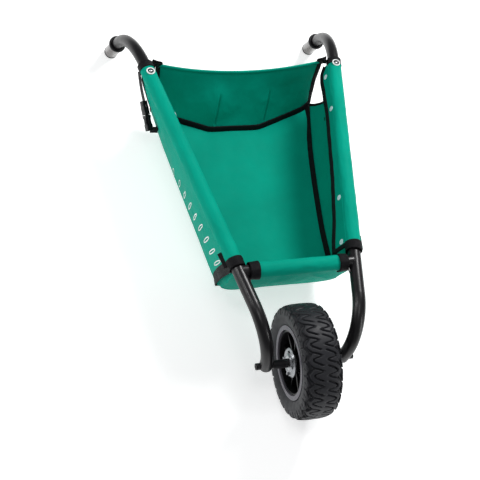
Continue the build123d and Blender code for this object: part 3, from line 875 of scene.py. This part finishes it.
def make_side_bindings(side, sign):
    """Tapes and seams of one side, from the floor seam up to the sleeve and back to the rear."""
    back = turned(0, 1, 0)
    up = turned(0, 0, 1)
    out = Vector((sign, 0, 0))
    begin = SLEEVE_START[side]

    def floor_seam(s):
        along = 0.048 + 0.676 * s
        lift = 0.026 * corner_lift(along)
        across = seam_half(along) - 0.0050
        return at(sign * across, along, -seam_deep(along) + lift + 0.006), out * -0.85 + up * 0.5

    def flap_edge(s):
        along = begin + (SLEEVE_END - begin) * s
        return flap_surface(sign, along, 1.0, 0.0004), up * 0.28 - out

    def flap_front(s):
        return flap_surface(sign, begin - 0.006 + 0.010 * s, s, 0.0004), up * 0.28 - out

    def panel_edge(s):
        share = 0.02 + 0.98 * s
        return side_place(sign, rear_edge(share), share), out

    def front_seam(s):
        return side_place(sign, front_edge(s) + 0.004, s, 0.0009), out

    def sleeve_seam(s):
        start, run, outwards, upwards = pole_axes(sign)
        spoke = outwards * math.cos(-0.62) + upwards * math.sin(-0.62)
        return start + run * (0.08 + 0.65 * s) + spoke * 0.0240, spoke

    def rear_side(s):
        return rear_place(sign * 1.0, s), back

    tape(f"{side}_floor_seam_tape", path_on(floor_seam, 80), 0.0205, 0.0050,
         f"{side}_floor_seam_binding", (-0.0045, 0.0045))
    tape(f"{side}_flap_tape", path_on(flap_edge, 140), 0.0185, 0.0066,
         f"{side}_flap_binding", (-0.0035,))
    tape(f"{side}_flap_front_tape", path_on(flap_front, 16), 0.015, 0.0058)
    tape(f"{side}_panel_edge_tape", path_on(panel_edge, 44), 0.0105, 0.0040,
         "panel_edge_bindings")
    stitches(f"{side}_front_seam_stitches", [path_on(front_seam, 40)], "green_canvas")
    stitches(f"{side}_sleeve_seam_stitches", [path_on(sleeve_seam, 60)], "green_canvas")
    tape(f"{side}_rear_edge_tape", path_on(rear_side, 30), 0.0165, 0.0064,
         "rear_side_bindings", (-0.004,))


def make_bindings():
    """Black tape over the raw edges and along the seams, and the rear panel's folded hem."""
    back = turned(0, 1, 0)
    up = turned(0, 0, 1)

    def seam(s):
        return rear_place(2 * s - 1, 0.955, 0.0030), up * 0.35 - back

    def hem(s):
        return rear_place(2 * s - 1, HEM_DEEP * 0.42 / 0.2, 0.0006), -back

    tape("rear_seam_tape", path_on(seam, 130), 0.0215, 0.0060, "rear_seam_binding",
         (-0.006, 0.006))
    for side, sign in SIDES:
        make_side_bindings(side, sign)
    tape("rear_top_hem", path_on(hem, 110), HEM_DEEP, 0.0080, None, (-0.0066, 0.0066),
         "green_canvas")


def make_corner_ties():
    """Webbing loops from the upper cuffs round the ends of the rear panel's hem."""
    back = turned(0, 1, 0)
    for side, sign in SIDES:
        cuff = pole_half(0.757) - 0.024
        route = ((cuff, 0.752, 0.004), (cuff - 0.012, 0.7565, 0.001), (0.268, 0.7600, -0.006),
                 (0.262, 0.7625, -0.007), (0.268, 0.7670, -0.006), (cuff - 0.012, 0.7655, 0.001),
                 (cuff, 0.769, 0.004))
        facing = ((0, -1), (0, -1), (0, -1), (-1, 0), (0, 1), (0, 1), (0, 1))
        points = [at(sign * a, b, c) for a, b, c in route]
        normals = [Vector((sign * a, 0, 0)) + back * b for a, b in facing]
        ribbon(f"{side}_corner_tie", (points, normals), 0.020, 0.0018, "corner_loops")


make_corner_ties()
make_bindings()
make_rear()


# ---- Webbing sling ----
def make_sling():
    """Webbing from one lower cuff, down the bag's side and under its front end, to the other."""
    def sling(s):
        turn = 2 * s - 1
        sign = 1 if turn >= 0 else -1
        reach = abs(turn)
        under = 0.50
        if reach < under:
            share = reach / under
            along = 0.086 - 0.004 * share
            across = (seam_half(along) + 0.003) * share
            depth = seam_deep(along) + floor_sag(along) * (1 - share**2) + 0.0030
            edge = ease((share - 0.90) / 0.10)
            depth -= 0.004 * edge
            facing = turned(0, 0, -1) * (1 - edge) + Vector((sign * edge, 0, 0))
            return at(sign * across, along, -depth), facing
        down = 1 - (reach - under) / (1 - under)
        along = 0.026 + 0.056 * down
        across, _ = side_surface(sign, along, down)
        depth = 0.012 + (seam_deep(along) - 0.016) * down
        proud = 0.0032 + 0.004 * math.sin(math.pi * down)
        return at(sign * (across + proud), along, -depth), Vector((sign, 0, 0))

    tape("front_sling_web", path_on(sling, 160), 0.038, 0.0020, "front_sling", (-0.015, 0.015))
    for side, sign in SIDES:
        begin = SLEEVE_START[side]

        def tail(s, sign=sign, begin=begin):
            along = begin - 0.020 + 0.050 * s
            place = at(sign * (pole_half(along) + 0.0275), along, -0.006 - 0.006 * s)
            return place, turned(sign * 0.5, 0, 0.85)

        ribbon(f"{side}_cuff_tail", path_on(tail, 12), 0.013, 0.0018)


make_sling()


# ---- Side buckles ----
BODY_PLACE = (0.626, 0.125)
TONGUE_PLACE = (0.667, 0.095)
BUCKLE_OUT = 0.0190
SEWN_PLACE = (0.606, 0.128)
STRAP_WIDTH = 0.025
STRAP_THICK = 0.0020

# Plates of the buckle's two mouldings: outline along and down the buckle, and from how low to how
# high they stand on its middle plane.
FACE = [(-0.025, -0.015), (-0.006, -0.0165), (-0.002, -0.0105), (0.014, -0.0105),
        (0.018, -0.017), (0.025, -0.017), (0.025, 0.017), (0.018, 0.017), (0.014, 0.0105),
        (-0.002, 0.0105), (-0.006, 0.0165), (-0.025, 0.015)]
BAR = [(-0.025, -0.015), (-0.019, -0.015), (-0.019, 0.015), (-0.025, 0.015)]
RAILS = [(-0.012, -0.0115), (0.025, -0.0115), (0.025, 0.0115), (-0.012, 0.0115)]
UPPER_CHEEK = [(-0.025, -0.015), (0.025, -0.017), (0.025, -0.0125), (-0.018, -0.0125)]
LOWER_CHEEK = [(-0.018, 0.0125), (0.025, 0.0125), (0.025, 0.017), (-0.025, 0.015)]
RIB = [(-0.004, -0.007), (0.004, -0.007), (0.004, 0.007), (-0.004, 0.007)]
SHELL_PLATES = ((FACE, 0.0045, 0.0105), (FACE, -0.0070, -0.0040), (BAR, -0.0046, 0.0046),
                (RAILS, 0.0034, 0.0046), (RAILS, -0.0046, -0.0034), (UPPER_CHEEK, -0.0046, 0.0046),
                (LOWER_CHEEK, -0.0046, 0.0046), (RIB, 0.0103, 0.0112))
BASE = [(0.026, -0.017), (0.050, -0.017), (0.060, -0.0145), (0.071, -0.0145),
        (0.071, 0.0145), (0.060, 0.0145), (0.050, 0.017), (0.026, 0.017)]
CORE = [(0.026, -0.017), (0.050, -0.017), (0.050, 0.017), (0.026, 0.017)]
MIDDLE = [(-0.002, -0.0022), (0.028, -0.0022), (0.028, 0.0022), (-0.002, 0.0022)]
LADDER = [(0.056, -0.011), (0.059, -0.011), (0.059, 0.011), (0.056, 0.011)]
ARM = ((0.028, 0.0085), (0.004, 0.0085), (-0.001, 0.0075), (-0.001, 0.0118), (0.012, 0.0118),
       (0.028, 0.0112))
ARMS = [[(a, turn * b) for a, b in ARM] for turn in (-1, 1)]
FORK_PLATES = ((BASE, 0.0030, 0.0098), (BASE, -0.0055, -0.0030), (CORE, -0.0031, 0.0031),
               (MIDDLE, -0.0028, 0.0028), (ARMS[0], -0.0030, 0.0030), (ARMS[1], -0.0030, 0.0030),
               (LADDER, 0.0096, 0.0106))


def buckle_point(sign, place):
    """A point on the buckle's middle line."""
    along, depth = place
    return at(sign * (pole_half(along) + BUCKLE_OUT), along, -depth)


def slab(vertices, faces, frame_of, outline, low, high):
    """Add a plate: its outline runs along and down, and it is thick from low to high."""
    origin, along, down, out = frame_of
    base = len(vertices)
    count = len(outline)
    for level in (low, high):
        vertices.extend(origin + along * a + down * b + out * level for a, b in outline)
    faces.append(tuple(range(base, base + count))[::-1])
    faces.append(tuple(range(base + count, base + 2 * count)))
    for k in range(count):
        m = (k + 1) % count
        faces.append((base + k, base + m, base + count + m, base + count + k))


def moulding(name, plates, frame_of, body, node):
    """A moulded piece built from plates with softened edges."""
    vertices = []
    faces = []
    for outline, low, high in plates:
        slab(vertices, faces, frame_of, rounded_outline(outline, 0.003, 3), low, high)
    piece = put(name, vertices, faces, body, "black_plastic", (node,))
    baked(piece, "BEVEL", width=0.0009, segments=2, limit_method="ANGLE")


def make_buckle(side, sign):
    """One side-release buckle, the strap up to the cuff and the strap sewn to the bag."""
    origin = buckle_point(sign, BODY_PLACE)
    run = (buckle_point(sign, TONGUE_PLACE) - origin).normalized()
    outwards = (run.cross(turned(0, 0, 1)) * sign).normalized()
    down = (outwards.cross(run) * sign).normalized()
    frame_of = (origin, run, down, outwards)
    moulding(f"{side}_buckle_shell", SHELL_PLATES, frame_of, "frame", f"{side}_buckle_body")
    moulding(f"{side}_buckle_fork", FORK_PLATES, frame_of, f"{side}_tongue",
             f"{side}_buckle_tongue")
    tongue_end = origin + run * 0.060
    cuff_end = at(sign * (pole_half(0.752) + 0.0175), 0.752, -0.0235)
    body_end = origin - run * 0.022

    def strap(s):
        return tongue_end.lerp(cuff_end, s) + outwards * 0.002 * math.sin(math.pi * s), outwards

    def sewn(s):
        along = SEWN_PLACE[0] + 0.024 * max(s - 0.4, 0.0)
        share = SEWN_PLACE[1] / seam_deep(along)
        lying = side_place(sign, along, share, 0.0022)
        return body_end.lerp(lying, ease(s * 2.2)), outwards

    web = ribbon(f"{side}_tongue_web", path_on(strap, 40), STRAP_WIDTH, STRAP_THICK,
                 f"{side}_tongue_strap")
    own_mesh(web)
    ribbon(f"{side}_body_web", path_on(sewn, 40), STRAP_WIDTH, STRAP_THICK, "body_straps")


for side, sign in SIDES:
    make_buckle(side, sign)


# ---- Studs, eyelets, outlined ovals and welds ----
STUDS = ((0.077, 0.017), (0.225, 0.007), (0.559, 0.001), (0.702, 0.014))
EYELET_ALONG = {"left": 0.731, "right": 0.713}
OVALS = 9
OVAL_STEPS = 28


def make_studs():
    stud = [(0, 0), (0, 0.0084), (0.0006, 0.0088), (0.0012, 0.0084), (0.0016, 0.0072),
            (0.0013, 0.0056), (0.0015, 0.0034), (0.0019, 0.0014), (0.0020, 0)]
    for side, sign in SIDES:
        for number, (along, depth) in enumerate(STUDS):
            share = (depth - FLAP_TOP) / (flap_deep(along) - FLAP_TOP)
            turned_piece(f"{side}_stud_{number}", flap_surface(sign, along, share, 0.0008),
                         Vector((-sign, 0.19, math.tan(FLAP_TILT))), stud, "stud_enamel",
                         "press_studs", 36)


def make_eyelets():
    up = turned(0, 0, 1)
    ring = rounded_outline([(0, 0.0094), (0, 0.0138), (0.0012, 0.0138), (0.0030, 0.0118),
                            (0.0018, 0.0094)], 0.0008)
    well = [(0, 0), (0, 0.0095), (0.0004, 0.0095), (0.0004, 0)]
    dome = [(0, 0), (0, 0.0058), (0.0012, 0.0060), (0.0026, 0.0052), (0.0038, 0.0038),
            (0.0045, 0.0020), (0.0046, 0)]
    for side, sign in SIDES:
        along = EYELET_ALONG[side]
        centre = at(sign * pole_half(along), along, 0.0236)
        turned_piece(f"{side}_eyelet_ring", centre, up, ring, "eyelet_ring", "eyelets")
        turned_piece(f"{side}_eyelet_well", centre, up, well, "black_plastic")
        turned_piece(f"{side}_eyelet_dome", centre, up, dome, "screw_steel", "eyelet_screws", 32)


def make_ovals():
    """Row of outlined ovals along the lower part of each side panel's outside."""
    for side, sign in SIDES:
        for number in range(OVALS):
            along = 0.088 + 0.040 * number + 0.0009 * number**2
            share = 0.45 + 0.060 * max(number - 3, 0)
            points = []
            normals = []
            for k in range(OVAL_STEPS):
                angle = 2 * math.pi * k / OVAL_STEPS
                s = along + 0.0072 * math.cos(angle) - 0.009 * math.sin(angle)
                v = share + 0.040 * math.cos(angle) - 0.155 * math.sin(angle)
                v = min(v, 0.985)
                points.append(side_place(sign, s, v, 0.0009))
                normals.append(Vector((sign, 0, 0)))
            ribbon(f"{side}_oval_{number}", (points, normals), 0.0036, 0.0006,
                   slot="eyelet_ring", closed=True)


def make_welds():
    """Weld bead where the crossbar meets each side tube."""
    bar_r = TUBE_R - 0.001
    lean = math.atan((HALF_REAR - HALF_FRONT) / POLE_RUN)
    for side, sign in SIDES:
        vertices = []
        count = 96
        for k in range(count):
            angle = 2 * math.pi * k / count
            along = bar_r * math.cos(angle)
            above = bar_r * math.sin(angle)
            inside = math.sqrt(TUBE_R**2 - above**2) / math.cos(lean) - along * math.tan(lean)
            centre = at(sign * (HALF_FRONT - inside), along, above)
            radial = turned(0, math.cos(angle), math.sin(angle))
            size = 0.0019 + 0.0004 * math.sin(angle * 24)
            for m in range(10):
                turn = 2 * math.pi * m / 10
                vertices.append(centre + radial * size * math.cos(turn)
                                + Vector((sign, 0, 0)) * size * math.sin(turn))
        faces = grid_faces(count, 10, wrap_rows=True, wrap_columns=True)
        put(f"{side}_crossbar_weld", vertices, faces, "frame", "powder_coated_tube")


make_studs()
make_eyelets()
make_ovals()
make_welds()


# ---- Stage, light and camera ----
def make_stage():
    mesh = bpy.data.meshes.new("stage_floor")
    size = 12
    mesh.from_pydata([(-size, -size, 0), (size, -size, 0), (size, size, 0), (-size, size, 0)], [],
                     [(0, 1, 2, 3)])
    floor = bpy.data.objects.new("stage_floor", mesh)
    bpy.context.scene.collection.objects.link(floor)
    material = bpy.data.materials.new("stage_pale")
    material.use_nodes = True
    shader = material.node_tree.nodes["Principled BSDF"]
    shader.inputs["Base Color"].default_value = (0.86, 0.86, 0.86, 1)
    shader.inputs["Roughness"].default_value = 0.9
    shader.inputs["Emission Color"].default_value = (1, 1, 1, 1)
    shader.inputs["Emission Strength"].default_value = 0.50
    mesh.materials.append(material)
    world = bpy.data.worlds.new("studio")
    bpy.context.scene.world = world
    world.use_nodes = True
    world.node_tree.nodes["Background"].inputs["Color"].default_value = (0.92, 0.94, 0.96, 1)
    world.node_tree.nodes["Background"].inputs["Strength"].default_value = 0.22


def area_light(name, place, target, size, power, size_y=None):
    data = bpy.data.lights.new(name, "AREA")
    data.energy = power
    data.size = size
    if size_y:
        data.shape = "RECTANGLE"
        data.size_y = size_y
    lamp = bpy.data.objects.new(name, data)
    lamp.location = place
    lamp.rotation_euler = (Vector(target) - Vector(place)).to_track_quat("-Z", "Y").to_euler()
    bpy.context.scene.collection.objects.link(lamp)


def make_camera():
    """The camera looks down on the barrow from ahead and from its right-hand side."""
    data = bpy.data.cameras.new("camera")
    data.lens = 67.5
    data.sensor_width = 36.0
    camera = bpy.data.objects.new("camera", data)
    camera.location = at(-0.885, -1.110, 2.1383)
    look = turned(0.28617, 0.47223, -0.83373).normalized()
    top = turned(0.07581, 0.85623, 0.51100).normalized()
    right = look.cross(top).normalized()
    top = right.cross(look)
    camera.matrix_world = (Matrix.Translation(camera.location)
                           @ Matrix((right, top, -look)).transposed().to_4x4())
    bpy.context.scene.collection.objects.link(camera)
    bpy.context.scene.camera = camera


make_stage()
area_light("key", (1.3, 1.2, 2.2), (0, 0, 0.15), 0.8, 58)
area_light("left_strip", (-1.7, 0.3, 1.3), (0, 0, 0.2), 0.22, 16, 2.0)
area_light("front_strip", (1.5, -1.7, 0.9), (0, -0.4, 0.15), 0.20, 12, 1.6)
area_light("top", (-0.5, -0.7, 2.8), (0, 0, 0.1), 0.9, 10)
bpy.context.scene.view_settings.view_transform = "Standard"
make_camera()
